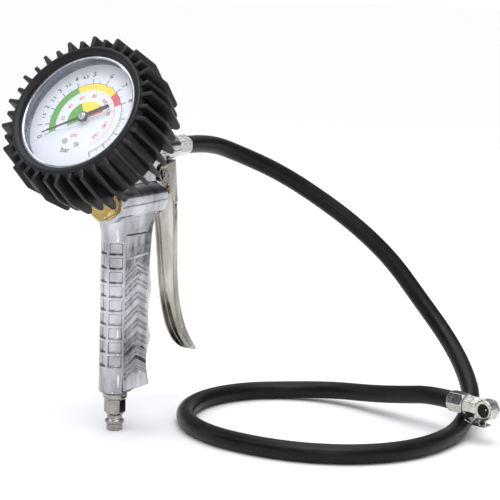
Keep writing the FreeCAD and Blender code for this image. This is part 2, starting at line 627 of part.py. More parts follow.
def movement_frame():
    """Two brass plates and the pillars between them; two pillars reach the dial."""
    outline = [V(-11, -12, 0), V(-11, -18.6, 0), V(4, -19.6, 0), V(22.4, -6, 0), V(22.4, 5, 0),
               V(11, 18, 0), V(4, 18, 0), V(-4, 5, 0)]
    plates = [flat(outline, z, z + PLATE_THICKNESS) for z in (PLATE_BACK, PLATE_FRONT)]
    pillars = [post(pillar, 1.7, PLATE_BACK, PLATE_FRONT) for pillar in PILLARS]
    dial_posts = [post(pillar, 1.9, PLATE_FRONT, DIAL_FACE - 0.8) for pillar in PILLARS[:2]]
    holes = [post(V(x, 0, 0), BEARING_R, PLATE_BACK - 1, PLATE_FRONT + 2) for x in (0.0, SECTOR_X)]
    threads = [post(pillar, 0.95, DIAL_FACE - 3.4, DIAL_FACE) for pillar in PILLARS[:2]]
    return fused(plates + pillars + dial_posts).cut(Part.makeCompound(holes + threads))


def bourdon_tube():
    """Flattened tube bent to a C, its closed tip carrying the link's pin."""
    half = 1.1
    band = turned([(TUBE_R - half, TUBE_LOW), (TUBE_R + half, TUBE_LOW), (TUBE_R + half, TUBE_HIGH),
                   (TUBE_R - half, TUBE_HIGH)])
    inside = turned([(TUBE_R - half + 0.4, TUBE_LOW + 0.6), (TUBE_R + half - 0.4, TUBE_LOW + 0.6),
                     (TUBE_R + half - 0.4, TUBE_HIGH - 0.6), (TUBE_R - half + 0.4, TUBE_HIGH - 0.6)])
    corners = [V(0, 0, 0), polar(40, ROOT_ANGLE), polar(50, (ROOT_ANGLE + TIP_ANGLE) / 2), polar(40, TIP_ANGLE)]
    gap = flat(corners, TUBE_LOW - 1, TUBE_HIGH + 1)
    tip = fused([post(TIP_PIN, 1.9, TUBE_LOW, -17.0), post(TIP_PIN, 0.5, -17.0, -13.9)])
    return fused([band.cut(inside).cut(gap), tip])


def gauge_socket():
    """Brass socket: threaded shank, hexagon behind the case, arm to the tube's root."""
    shank = turned([(1.6, TUBE_LOW), (SOCKET_R - 0.02, TUBE_LOW), (SOCKET_R - 0.02, CASE_BACK - 1.0),
                    (8.0, CASE_BACK - 1.0), (8.0, SOCKET_FACE + 0.4), (7.6, SOCKET_FACE),
                    (4.98, SOCKET_FACE), (4.98, SOCKET_FACE - 11.0), (4.4, SOCKET_FACE - 11.6),
                    (1.6, SOCKET_FACE - 11.6)])
    spanner_flats = hexagon(17.0, SOCKET_FACE + 0.2, CASE_BACK - 1.2, 0.8).cut(post(V(0, 0, 0), 1.6, -60, 0))
    case_rest = turned([(1.6, CASE_BACK + 1.0), (9.0, CASE_BACK + 1.0), (9.0, TUBE_LOW), (1.6, TUBE_LOW)])
    direction, across = polar(1.0, -106), polar(4.5, -16)
    outer = direction * (TUBE_R + 2.6)
    arm = flat([across, outer + across, outer - across, across * -1], TUBE_LOW - 0.6, TUBE_HIGH + 0.2)
    centre_block = post(V(0, 0, 0), 6.4, TUBE_LOW - 0.6, PLATE_BACK)
    arbor_room = post(V(0, 0, 0), 1.0, PLATE_BACK - 0.9, PLATE_BACK + 1.0)
    channel_z = (TUBE_LOW + TUBE_HIGH) / 2
    channel = fused([post(V(0, 0, 0), 1.6, -60, channel_z),
                     rod(V(0, 0, channel_z), direction * TUBE_R + V(0, 0, channel_z), 1.2)])
    whole = fused([shank, spanner_flats, case_rest, arm, centre_block])
    return whole.cut(Part.makeCompound([channel, arbor_room])).cut(bourdon_tube())


def gauge_seal():
    """Sealing washer between the socket's hexagon and the grip's gauge boss."""
    return turned([(5.1, SOCKET_FACE - 0.6), (7.4, SOCKET_FACE - 0.6), (7.4, SOCKET_FACE), (5.1, SOCKET_FACE)])


# ---------------------------------------------------------------- rubber boot
TALL_FIN = [(41.0, 2.3), (49.1, 2.6), (51.8, -17.0), (48.2, -36.0), (47.0, -37.4), (45.0, -37.4), (41.0, -33.0)]
SHORT_FIN = [(41.0, 2.2), (47.1, 2.4), (50.0, -17.0), (46.8, -35.4), (45.8, -36.8), (44.2, -36.8), (41.0, -33.0)]
FIN_ROOT, FIN_TIP = 1.5, 1.0
FIRST_TALL_ANGLE = 17.0


def fin_blade(outline):
    """One radial fin, thicker at its root than at its outer edge."""
    plate = side_plate(outline, -FIN_ROOT, FIN_ROOT)
    taper = flat([V(40, -FIN_ROOT, 0), V(53, -FIN_TIP, 0), V(53, FIN_TIP, 0), V(40, FIN_ROOT, 0)], -40, 5)
    return plate.common(taper)


def rubber_boot():
    """Shell that grips the case and folds over the bezel, with radial fins, every second one taller."""
    shell = turned([(BOOT_OPENING_R, 0.1), (37.4, 1.2), (39.0, 2.7), (40.6, 3.1), (42.0, 2.6), (42.6, 1.2),
                    (42.6, -3.0), (BOOT_BASE_R, -3.4), (BOOT_BASE_R, -33.6), (31.0, -33.6), (31.0, -32.2),
                    (37.6, -31.2), (39.4, -29.4), (39.4, -9.2), (BEZEL_R + 0.1, -9.2), (BEZEL_R + 0.1, 0.1)])
    fins = []
    for index in range(FIN_COUNT):
        fin = fin_blade(TALL_FIN if index % 2 == 0 else SHORT_FIN)
        fin.rotate(V(0, 0, 0), V(0, 0, 1), FIRST_TALL_ANGLE + index * 360.0 / FIN_COUNT)
        fins.append(fin)
    return fused([shell] + fins)


# ---------------------------------------------------------------- hose
HOSE_ROUTE = [V(HOSE_START_X, 0, OUTLET_Z), V(104, 0, 171.5), V(133, -8, 162), V(155, -28, 149),
              V(168, -53, 132), V(175, -79, 114), V(180, -103, 93), V(179, -125, 69), V(174, -148, 47),
              V(159, -168, 29), V(135, -183, 16), V(106, -186, 5.8), V(73, -185, 5.8), V(44, -175, 5.8),
              V(21, -154, 5.8), V(7, -126, 5.8), V(3, -95, 5.8), V(7, -64, 5.8), V(23, -37.5, 5.8),
              V(49, -21, 5.8), V(79.5, -18, 5.8), V(108, -29, 5.8), V(129, -52.5, 5.8), V(137.5, -83, 8.5),
              V(131.5, -113, 12), V(124, -139, 17), CHUCK_START - CHUCK_DIRECTION * 17.0, CHUCK_START]


def hose_path(route):
    """Straight runs joined by tangent arcs as large as the runs allow; returns wire, length and radii."""
    edges, radii = [], []
    here = route[0]
    for before, corner, after in zip(route, route[1:], route[2:]):
        arriving, leaving = corner - before, after - corner
        half_turn = arriving.getAngle(leaving) / 2
        setback = 0.45 * min(arriving.Length, leaving.Length)
        radius = setback / tan(half_turn)
        start = corner - V(arriving).normalize() * setback
        end = corner + V(leaving).normalize() * setback
        inward = ((start + end) * 0.5 - corner).normalize()
        middle = corner + inward * (sqrt(radius ** 2 + setback ** 2) - radius)
        edges += [Part.LineSegment(here, start).toShape(), Part.Arc(start, middle, end).toShape()]
        radii.append(radius)
        here = end
    edges.append(Part.LineSegment(here, route[-1]).toShape())
    wire = Part.Wire(edges)
    return wire, wire.Length, radii


def hose():
    wire, length, radii = hose_path(HOSE_ROUTE)
    heading = HOSE_ROUTE[1] - HOSE_ROUTE[0]
    tubes = []
    for radius in (HOSE_R, HOSE_BORE_R):
        section = Part.Wire(Part.makeCircle(radius, HOSE_ROUTE[0], heading))
        tubes.append(wire.makePipeShell([section], True, False))
    tube = tubes[0].cut(tubes[1])
    section_area = pi * (HOSE_R ** 2 - HOSE_BORE_R ** 2)
    print("hose length %.1f, volume over section %.1f" % (length, tube.Volume / section_area))
    print("hose radii", " ".join("%.0f" % radius for radius in radii))
    return tube


def hose_outlet_nut():
    """Hexagon fitting with a barb in the hose and a threaded end in the grip's hose boss."""
    hex_r, start, end = OUTLET_HEX_AF / 2, OUTLET_HEX_START, HOSE_START_X
    fitting = turned([(2.0, OUTLET_END_X - 13.0), (4.98, OUTLET_END_X - 13.0), (4.98, OUTLET_END_X),
                      (5.7, OUTLET_END_X), (5.7, start - 0.5), (hex_r, start), (hex_r, end), (3.0, end),
                      (HOSE_BORE_R, end + 1.0), (2.9, end + 4.0), (HOSE_BORE_R, end + 5.0), (2.9, end + 8.0),
                      (2.0, end + 8.0)])
    flats = hexagon(OUTLET_HEX_AF, start - 0.6, end, 1.1).cut(Part.makeCylinder(2.0, 120))
    whole = fused([fitting, flats])
    whole.Placement = FreeCAD.Placement(V(0, 0, OUTLET_Z), FreeCAD.Rotation(V(0, 1, 0), 90))
    return whole


# ---------------------------------------------------------------- chuck
# Chuck frame: x along the barrel away from the hose, z up, the valve opening on the -y side.
UP = V(0, 0, 1)
CHUCK_PLACE = frame_placement(CHUCK_START, CHUCK_DIRECTION, UP)
NUT_LENGTH = 12.0
BARREL_AF = 10.6
HEAD_X, HEAD_R = 28.4, 6.6
HEAD_FRONT, SEAL_FRONT, SEAL_BACK, HEAD_BACK, CAP_BACK = -5.5, -2.7, -0.9, 1.2, 3.5
CLIP_HALF_WIDTH = 3.8
CLIP_Y = -2.6
CLIP_PIN = V(HEAD_X - 4.5, CLIP_Y, -7.3)
CLIP_PIN_R = 0.8
CLIP_SHEET = 0.9
CLIP_FLOOR = -10.2


def lengthwise(shape):
    """Turns a shape made about +Z so that it lies along the chuck's x."""
    moved = shape.copy()
    moved.Placement = FreeCAD.Placement(V(0, 0, 0), FreeCAD.Rotation(V(0, 1, 0), 90))
    return moved


def crosswise(shape):
    """Turns a shape made about +Z so that it lies along the chuck's y through the head's centre."""
    moved = shape.copy()
    moved.Placement = FreeCAD.Placement(V(HEAD_X, 0, 0), FreeCAD.Rotation(V(1, 0, 0), -90))
    return moved


def hose_end_nut():
    body = turned([(2.0, -8.0), (2.9, -8.0), (HOSE_BORE_R, -5.0), (2.9, -4.0), (HOSE_BORE_R, -1.0), (3.0, 0.0),
                   (5.9, 0.0), (5.9, NUT_LENGTH), (4.4, NUT_LENGTH), (4.4, NUT_LENGTH + 6.0),
                   (2.0, NUT_LENGTH + 6.0)])
    flats = hexagon(12.0, 0.0, NUT_LENGTH, 1.2).cut(Part.makeCylinder(2.0, 40, V(0, 0, -10)))
    flats.rotate(V(0, 0, 0), V(0, 0, 1), 30)
    return lengthwise(fused([body, flats]))


def chuck_body():
    """Hexagonal barrel, the ring-shaped head that takes the tyre valve, and two lugs for the clip."""
    barrel = lengthwise(hexagon(BARREL_AF, NUT_LENGTH, HEAD_X - 1.0, 0.8))
    barrel = barrel.cut(Part.makeBox(12.0, 10.0, 20.0, V(HEAD_X - 7.3, HEAD_BACK, -10.0)))
    head = crosswise(turned([(0, HEAD_FRONT), (HEAD_R - 0.5, HEAD_FRONT), (HEAD_R, HEAD_FRONT + 0.5),
                             (HEAD_R, HEAD_BACK), (0, HEAD_BACK)]))
    lugs = [Part.makeBox(3.6, 1.4, 5.0, V(CLIP_PIN.x - 1.8, y, -8.6)) for y in (CLIP_Y - 2.6, CLIP_Y + 1.2)]
    body = fused([barrel, head] + lugs)
    bores = [crosswise(Part.makeCylinder(CHUCK_BORE_R, 20, V(0, 0, SEAL_FRONT - 20))),
             crosswise(Part.makeCylinder(4.9, HEAD_BACK - SEAL_FRONT, V(0, 0, SEAL_FRONT))),
             lengthwise(Part.makeCylinder(4.42, 7.0, V(0, 0, NUT_LENGTH - 0.6))),
             rod(V(NUT_LENGTH + 5.0, -0.2, 0), V(HEAD_X, -0.2, 0), 0.8),
             rod(CLIP_PIN + V(0, -5, 0), CLIP_PIN + V(0, 5, 0), CLIP_PIN_R),
             Part.makeBox(3.2, 2.2, 6.0, V(HEAD_X - 0.7, HEAD_FRONT + 0.7, -8.6))]
    return body.cut(Part.makeCompound(bores))


def chuck_end_plug():
    """Hexagonal cap screwed in behind the head; it clamps the seal and holds the centre pin."""
    cap = fused([hexagon(12.0, HEAD_BACK, CAP_BACK, 0.7),
                 Part.makeCylinder(4.88, HEAD_BACK - SEAL_BACK, V(0, 0, SEAL_BACK))])
    return crosswise(cap.cut(Part.makeCylinder(3.7, 2.5, V(0, 0, SEAL_BACK))).cut(air_port()))


def air_port():
    """Notch in the cap's rim where the air comes in from the barrel."""
    return Part.makeBox(3.0, 1.8, 1.8, V(-6.0, -0.9, -0.9))


def chuck_seal():
    """Rubber washer at the bottom of the valve opening."""
    return crosswise(turned([(1.6, SEAL_FRONT), (4.88, SEAL_FRONT), (4.88, SEAL_BACK), (1.6, SEAL_BACK)]))


def chuck_depressor():
    """Centre pin that opens the tyre valve's core."""
    floor = SEAL_BACK + 2.5
    return crosswise(turned([(0, SEAL_FRONT), (0.5, SEAL_FRONT), (0.8, SEAL_FRONT + 0.3),
                             (0.8, floor - 0.8), (2.4, floor - 0.8),
                             (2.4, floor), (0, floor)]))


def chuck_clip():
    """Stamped clip under the head: thumb tab towards the hose, claw up through the head's rim."""
    near, far = CLIP_Y - CLIP_HALF_WIDTH, CLIP_Y + CLIP_HALF_WIDTH
    top = CLIP_FLOOR + CLIP_SHEET
    tab_x = HEAD_X - 13.0
    plate = side_plate([(tab_x, -7.7), (tab_x + 0.2, -8.6), (tab_x + 5.0, CLIP_FLOOR), (HEAD_X + 2.2, CLIP_FLOOR),
                        (HEAD_X + 2.2, top), (tab_x + 5.2, top)], near, far)
    cheek = [(tab_x + 4.8, CLIP_FLOOR), (CLIP_PIN.x + 4.0, CLIP_FLOOR), (CLIP_PIN.x + 1.6, -6.9),
             (CLIP_PIN.x - 1.2, -6.9), (CLIP_PIN.x - 2.2, -7.8)]
    cheeks = [side_plate(cheek, near, near + CLIP_SHEET), side_plate(cheek, far - CLIP_SHEET, far)]
    claw = side_plate([(HEAD_X - 0.4, CLIP_FLOOR), (HEAD_X + 1.4, CLIP_FLOOR), (HEAD_X + 1.4, -4.7),
                       (HEAD_X + 0.9, -4.25), (HEAD_X - 0.4, -4.25)], HEAD_FRONT + 1.1, HEAD_FRONT + 2.3)
    hole = rod(CLIP_PIN + V(0, -7, 0), CLIP_PIN + V(0, 7, 0), CLIP_PIN_R + 0.06)
    return fused([plate, claw] + cheeks).cut(hole)


def chuck_clip_pin():
    return rod(CLIP_PIN + V(0, -4.4, 0), CLIP_PIN + V(0, 4.4, 0), CLIP_PIN_R)


def chuck_clip_spring():
    """Torsion spring coiled round the clip's pin between the lugs."""
    spring = coil(1.15, 0.3, -1.1, 1.1, 2.5)
    spring.Placement = FreeCAD.Placement(CLIP_PIN, FreeCAD.Rotation(V(1, 0, 0), -90))
    return spring


WORLD_NODES = [air_inlet_plug, inlet_seal, grip_casting, valve_cap, valve_cap_o_ring, valve_seat, valve_spring,
               valve_stem, poppet_seal, stem_o_ring, stem_guide, trigger_lever, pivot_pin, pivot_clips, hose,
               hose_outlet_nut]
GAUGE_NODES = [gauge_case, gauge_bezel, gauge_lens, lens_gasket, dial_plate, dial_screws, pointer, pinion_arbor,
               sector_gear, movement_link, movement_frame, bourdon_tube, gauge_socket, gauge_seal, rubber_boot]
CHUCK_NODES = [hose_end_nut, chuck_body, chuck_end_plug, chuck_seal, chuck_depressor, chuck_clip, chuck_clip_pin,
               chuck_clip_spring]
WORLD = FreeCAD.Placement()
for makers, placement in ((WORLD_NODES, WORLD), (GAUGE_NODES, GAUGE_PLACE), (CHUCK_NODES, CHUCK_PLACE)):
    for make in makers:
        export(placed(make(), placement), make.__name__)
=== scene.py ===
from math import atan2, cos, pi, radians, sin

import bmesh
import bpy
from mathutils import Matrix, Vector


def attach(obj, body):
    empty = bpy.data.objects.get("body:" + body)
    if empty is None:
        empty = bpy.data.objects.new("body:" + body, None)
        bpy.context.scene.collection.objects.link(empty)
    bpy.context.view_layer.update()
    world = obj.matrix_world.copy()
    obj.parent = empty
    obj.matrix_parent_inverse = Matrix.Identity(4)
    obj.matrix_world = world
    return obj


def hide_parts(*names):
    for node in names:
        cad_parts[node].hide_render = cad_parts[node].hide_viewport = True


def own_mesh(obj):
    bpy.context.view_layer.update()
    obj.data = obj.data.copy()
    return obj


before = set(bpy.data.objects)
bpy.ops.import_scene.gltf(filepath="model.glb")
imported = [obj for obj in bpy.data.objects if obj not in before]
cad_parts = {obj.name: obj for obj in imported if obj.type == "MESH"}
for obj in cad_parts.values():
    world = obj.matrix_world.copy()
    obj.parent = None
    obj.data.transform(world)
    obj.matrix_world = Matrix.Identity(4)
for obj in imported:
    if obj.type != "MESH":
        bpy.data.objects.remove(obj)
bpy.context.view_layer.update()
SCENE = bpy.context.scene

# ---------------------------------------------------------------- camera
CAMERA_PLACE = (-0.74503, -0.50865, 0.26550)
CAMERA_AZIMUTH, CAMERA_ELEVATION, CAMERA_ROLL = 209.2, 9.5, 1.8     # degrees
LENS_MM = 108.0
SENSOR_MM = 36.0


def place_camera():
    """Long-lens camera ahead of the dial, off to its right and just above it, rolled slightly."""
    data = bpy.data.cameras.new("camera")
    data.lens = LENS_MM
    data.sensor_width = SENSOR_MM
    data.clip_start = 0.05
    camera = bpy.data.objects.new("camera", data)
    heading = Matrix.Rotation(radians(CAMERA_AZIMUTH + 90.0), 4, "Z")
    pitch = Matrix.Rotation(radians(90.0 - CAMERA_ELEVATION), 4, "X")
    roll = Matrix.Rotation(radians(CAMERA_ROLL), 4, "Z")
    camera.matrix_world = Matrix.Translation(CAMERA_PLACE) @ heading @ pitch @ roll
    SCENE.collection.objects.link(camera)
    SCENE.camera = camera
    SCENE.view_settings.view_transform = "Standard"


place_camera()

# ---------------------------------------------------------------- materials
GLOSS_FINER = 3.1           # how much finer the patches of gloss are than those of colour
EDGE_TONE_BAND = 0.07            # pointiness over which an edge goes from its plain colour to its edge colour
EDGE_TONE_MOST = 0.85            # share of the edge colour on the sharpest edges
GRAIN_HEIGHT = 0.0003
WAVE_HEIGHT = 0.004


def add(tree, kind, **inputs):
    node = tree.nodes.new(kind)
    for name, value in inputs.items():
        node.inputs[name].default_value = value
    return node


def noise(tree, coords, scale, detail=4.0, roughness=0.5):
    node = add(tree, "ShaderNodeTexNoise", Scale=scale, Detail=detail, Roughness=roughness)
    tree.links.new(coords, node.inputs["Vector"])
    return node.outputs["Fac"]


def remap(tree, value, low, high, to_low=0.0, to_high=1.0):
    node = tree.nodes.new("ShaderNodeMapRange")
    for index, number in enumerate((low, high, to_low, to_high)):
        node.inputs[index + 1].default_value = number
    tree.links.new(value, node.inputs[0])
    return node.outputs[0]


def blended(tree, factor, colour_a, colour_b):
    """Mix of two colours, each given as a value or as a socket."""
    node = tree.nodes.new("ShaderNodeMix")
    node.data_type = "RGBA"
    tree.links.new(factor, node.inputs[0])
    for socket, colour in ((node.inputs[6], colour_a), (node.inputs[7], colour_b)):
        if isinstance(colour, tuple):
            socket.default_value = (*colour, 1.0)
        else:
            tree.links.new(colour, socket)
    return node.outputs[2]


def surface(name, colour, second, patch, roughness, metallic=0.0, rough_swing=0.08, grain=1500.0,
            grain_depth=0.05, waves=None, wear=None, wear_from=0.53, specular=0.5,
            stretch=(1.0, 1.0, 1.0)):
    """Principled material with patchy colour, uneven gloss, fine grain, slow waves and lighter sharp
    edges, which are worn metal on some parts and a painted highlight on others.

    patch, grain and the second of waves are noise scales; waves is (depth, scale) and the edge colour is
    an RGB colour.
    """
    made = bpy.data.materials.new(name)
    made.use_nodes = True
    tree = made.node_tree
    shader = tree.nodes["Principled BSDF"]
    coords = tree.nodes.new("ShaderNodeTexCoord").outputs["Object"]
    drawn_out = add(tree, "ShaderNodeMapping", Scale=stretch)
    tree.links.new(coords, drawn_out.inputs["Vector"])
    patches = noise(tree, drawn_out.outputs["Vector"], patch, detail=5.0, roughness=0.6)
    base = blended(tree, remap(tree, patches, low=0.35, high=0.65), colour, second)
    # Sharp edges take the edge colour: worn metal on the small fittings, and a painted highlight on the
    # grip, lever and boot, where light catches the edges.
    if wear:
        point = tree.nodes.new("ShaderNodeNewGeometry").outputs["Pointiness"]
        wear_and_highlight_mask = remap(tree, point, wear_from, wear_from + EDGE_TONE_BAND, to_high=EDGE_TONE_MOST)
        base = blended(tree, wear_and_highlight_mask, base, wear)
    tree.links.new(base, shader.inputs["Base Color"])
    unevenness = noise(tree, coords, patch * GLOSS_FINER, detail=6.0, roughness=0.65)
    gloss = remap(tree, unevenness, low=0.3, high=0.7, to_low=roughness - rough_swing,
                  to_high=roughness + rough_swing)
    tree.links.new(gloss, shader.inputs["Roughness"])
    shader.inputs["Metallic"].default_value = metallic
    shader.inputs["Specular IOR Level"].default_value = specular
    fine = add(tree, "ShaderNodeBump", Strength=grain_depth, Distance=GRAIN_HEIGHT)
    tree.links.new(noise(tree, coords, grain, detail=6.0, roughness=0.6), fine.inputs["Height"])
    if waves:
        depth, scale = waves
        slow = add(tree, "ShaderNodeBump", Strength=depth, Distance=WAVE_HEIGHT)
        tree.links.new(noise(tree, coords, scale, detail=2.0), slow.inputs["Height"])
        tree.links.new(slow.outputs["Normal"], fine.inputs["Normal"])
    tree.links.new(fine.outputs["Normal"], shader.inputs["Normal"])
    return made


def metal(name, colour, second, patch, roughness, **more):
    return surface(name, colour, second, patch, roughness, metallic=1.0, **more)


def ink(name, colour, second, patch, roughness):
    return surface(name, colour, second, patch, roughness, specular=0.1)


# The lighter grey on the sharp fin edges is a painted highlight, light catching the fin edges painted into
# the rubber.
BOOT_RUBBER = surface(
    "boot_rubber", (0.0035, 0.0035, 0.0045), (0.0065, 0.0065, 0.0080), patch=90.0, roughness=0.42,
    rough_swing=0.07, grain=2600.0, grain_depth=0.14, wear=(0.034, 0.034, 0.038), specular=0.30)
HOSE_RUBBER = surface(
    "hose_rubber", (0.0020, 0.0020, 0.0028), (0.0050, 0.0050, 0.0064), patch=70.0, roughness=0.34,
    rough_swing=0.06, grain=2200.0, grain_depth=0.12, waves=(0.05, 160.0), specular=0.20)
SEAL_RUBBER = surface(
    "seal_rubber", (0.010, 0.010, 0.010), (0.020, 0.020, 0.019), patch=300.0, roughness=0.6)
# The near-white colour on the sharp edges and chevron rims is a painted highlight.
CAST_METAL = metal(
    "cast_metal", (0.26, 0.263, 0.278), (0.61, 0.612, 0.64), patch=75.0, roughness=0.14,
    rough_swing=0.05, grain_depth=0.02, waves=(0.13, 60.0), wear=(0.88, 0.88, 0.91),
    stretch=(1.0, 1.0, 0.32))
# The pale colour on the lever's sharp edges is a painted highlight.
LEVER_METAL = metal(
    "lever_metal", (0.20, 0.19, 0.155), (0.60, 0.585, 0.525), patch=75.0, roughness=0.15,
    rough_swing=0.05, grain=1700.0, grain_depth=0.02, waves=(0.22, 34.0), wear=(0.80, 0.78, 0.72),
    wear_from=0.55, stretch=(1.0, 1.0, 0.22))
NICKEL = metal(
    "nickel", (0.27, 0.25, 0.23), (0.38, 0.36, 0.335), patch=260.0, roughness=0.15,
    rough_swing=0.05, grain=3000.0, grain_depth=0.03, waves=(0.03, 260.0), wear=(0.80, 0.78, 0.74))
PALE_NICKEL = metal(
    "pale_nickel", (0.42, 0.42, 0.385), (0.60, 0.60, 0.555), patch=300.0, roughness=0.14,
    rough_swing=0.05, grain=3000.0, grain_depth=0.03, waves=(0.03, 260.0), wear=(0.86, 0.85, 0.81))
BRASS = metal(
    "brass", (0.36, 0.26, 0.085), (0.48, 0.37, 0.14), patch=220.0, roughness=0.20,
    rough_swing=0.07, grain=2600.0, wear=(0.86, 0.74, 0.42))
WIRE_STEEL = metal("wire_steel", (0.20, 0.20, 0.21), (0.34, 0.34, 0.35), patch=500.0, roughness=0.30)
CASE_METAL = metal(
    "case_metal", (0.20, 0.22, 0.26), (0.32, 0.34, 0.39), patch=80.0, roughness=0.30, grain=1800.0)
BEZEL_METAL = metal(
    "bezel_metal", (0.46, 0.47, 0.50), (0.60, 0.61, 0.64), patch=120.0, roughness=0.16,
    rough_swing=0.04, grain=2400.0, grain_depth=0.04)
HUB_METAL = metal("hub_metal", (0.45, 0.46, 0.48), (0.68, 0.69, 0.71), patch=900.0, roughness=0.22)
DIAL_WHITE = surface(
    "dial_white", (0.770, 0.810, 0.890), (0.800, 0.840, 0.915), patch=45.0, roughness=0.42,
    grain=2800.0, grain_depth=0.03, specular=0.2)
PRINT_BLACK = ink("print_black", (0.004, 0.004, 0.005), (0.010, 0.010, 0.012), 900.0, 0.5)
PRINT_RED = ink("print_red", (0.62, 0.045, 0.075), (0.70, 0.07, 0.10), 900.0, 0.5)
BAND_GREEN = ink("band_green", (0.090, 0.360, 0.030), (0.115, 0.400, 0.042), 300.0, 0.45)
BAND_YELLOW = ink("band_yellow", (0.90, 0.72, 0.035), (0.93, 0.76, 0.055), 300.0, 0.45)
BAND_RED = ink("band_red", (0.66, 0.065, 0.085), (0.71, 0.09, 0.11), 300.0, 0.45)
POINTER_BLACK = surface(
    "pointer_black", (0.004, 0.004, 0.004), (0.009, 0.009, 0.010), patch=700.0, roughness=0.38,
    specular=0.25)


LENS_TINT, LENS_ALPHA = (0.93, 0.96, 1.0), 0.06


def lens_material():
    """Nearly clear plastic with slightly uneven gloss."""
    made = bpy.data.materials.new("lens_clear")
    made.use_nodes = True
    tree = made.node_tree
    shader = tree.nodes["Principled BSDF"]
    coords = tree.nodes.new("ShaderNodeTexCoord").outputs["Object"]
    shader.inputs["Base Color"].default_value = (*LENS_TINT, 1.0)
    shader.inputs["Alpha"].default_value = LENS_ALPHA
    gloss = remap(tree, noise(tree, coords, scale=60.0), low=0.3, high=0.7, to_low=0.02, to_high=0.07)
    tree.links.new(gloss, shader.inputs["Roughness"])
    return made


LENS_CLEAR = lens_material()
CAD_FINISH = {              # the parts that keep their CAD shape
    NICKEL: ["chuck_depressor"],
    BRASS: ["valve_seat", "valve_stem", "stem_guide", "pinion_arbor", "sector_gear", "movement_link",
            "movement_frame", "bourdon_tube", "gauge_socket"],
    WIRE_STEEL: ["pivot_pin", "pivot_clips", "chuck_clip_pin", "chuck_clip_spring"],
    SEAL_RUBBER: ["inlet_seal", "valve_cap_o_ring", "poppet_seal", "stem_o_ring", "lens_gasket",
                  "gauge_seal", "chuck_seal"],
    CASE_METAL: ["gauge_case"],
    BEZEL_METAL: ["gauge_bezel"],
    DIAL_WHITE: ["dial_plate"],
    HUB_METAL: ["dial_screws"],
    LENS_CLEAR: ["gauge_lens"],
}
for finish, node_names in CAD_FINISH.items():
    for node_name in node_names:
        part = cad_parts[node_name]
        part.data.materials.clear()
        part.data.materials.append(finish)


# ---------------------------------------------------------------- mesh helpers
SMOOTH_ANGLE = 35.0         # degrees


def piece_from(name, mesh, material, body, replaced=()):
    mesh.name = name
    mesh.materials.clear()
    mesh.materials.append(material)
    made = bpy.data.objects.new(name, mesh)
    SCENE.collection.objects.link(made)
    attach(made, body)
    if replaced:
        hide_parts(*replaced)
    return made


def mesh_of(bm, smooth_angle=SMOOTH_ANGLE):
    """Smooth-shaded mesh whose edges stay sharp where they turn by more than the angle."""
    bmesh.ops.recalc_face_normals(bm, faces=bm.faces)
    mesh = bpy.data.meshes.new("mesh")
    bm.to_mesh(mesh)
    bm.free()
    mesh.polygons.foreach_set("use_smooth", [True] * len(mesh.polygons))
    mesh.set_sharp_from_angle(angle=radians(smooth_angle))
    return mesh


def around(sequence):
    """Each item with the one that follows it, the last with the first."""
    return zip(sequence, sequence[1:] + sequence[:1])


def prism(bm, lower, upper):
    """Solid between two outlines with the same number of corners."""
    bm.faces.new(upper)
    bm.faces.new(list(reversed(lower)))
    for (low, next_low), (high, next_high) in zip(around(lower), around(upper)):
        bm.faces.new((low, next_low, next_high, high))


def revolve(bm, profile, segments):
    """Closed ring of revolution about Z from (radius, z) points."""
    rings = []
    for step in range(segments):
        angle = 2 * pi * step / segments
        rings.append([bm.verts.new((r * cos(angle), r * sin(angle), z)) for r, z in profile])
    for ring, following in around(rings):
        for (near, next_near), (far, next_far) in zip(around(ring), around(following)):
            bm.faces.new((near, far, next_far, next_near))


def sweep(bm, rings):
    """Solid through a run of closed sections, with both ends filled."""
    for ring, following in zip(rings, rings[1:]):
        for (near, next_near), (far, next_far) in zip(around(ring), around(following)):
            bm.faces.new((near, next_near, next_far, far))
    bm.faces.new(rings[0])
    bm.faces.new(list(reversed(rings[-1])))


def softened(node_name, name, material, body, voxel, rounds=2, keep=0.5):
    """The CAD node's own shape with its edges rounded, as a denser mesh."""
    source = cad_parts[node_name]
    work = bpy.data.objects.new("work", source.data.copy())
    SCENE.collection.objects.link(work)
    remesh = work.modifiers.new("remesh", "REMESH")
    remesh.mode = "VOXEL"
    remesh.voxel_size = voxel
    smooth = work.modifiers.new("smooth", "SMOOTH")
    smooth.factor = 0.5
    smooth.iterations = rounds
    thin = work.modifiers.new("thin", "DECIMATE")
    thin.ratio = keep
    depsgraph = bpy.context.evaluated_depsgraph_get()
    mesh = bpy.data.meshes.new_from_object(work.evaluated_get(depsgraph))
    bpy.data.objects.remove(work)
    mesh.polygons.foreach_set("use_smooth", [True] * len(mesh.polygons))
    return piece_from(name, mesh, material, body, [node_name])


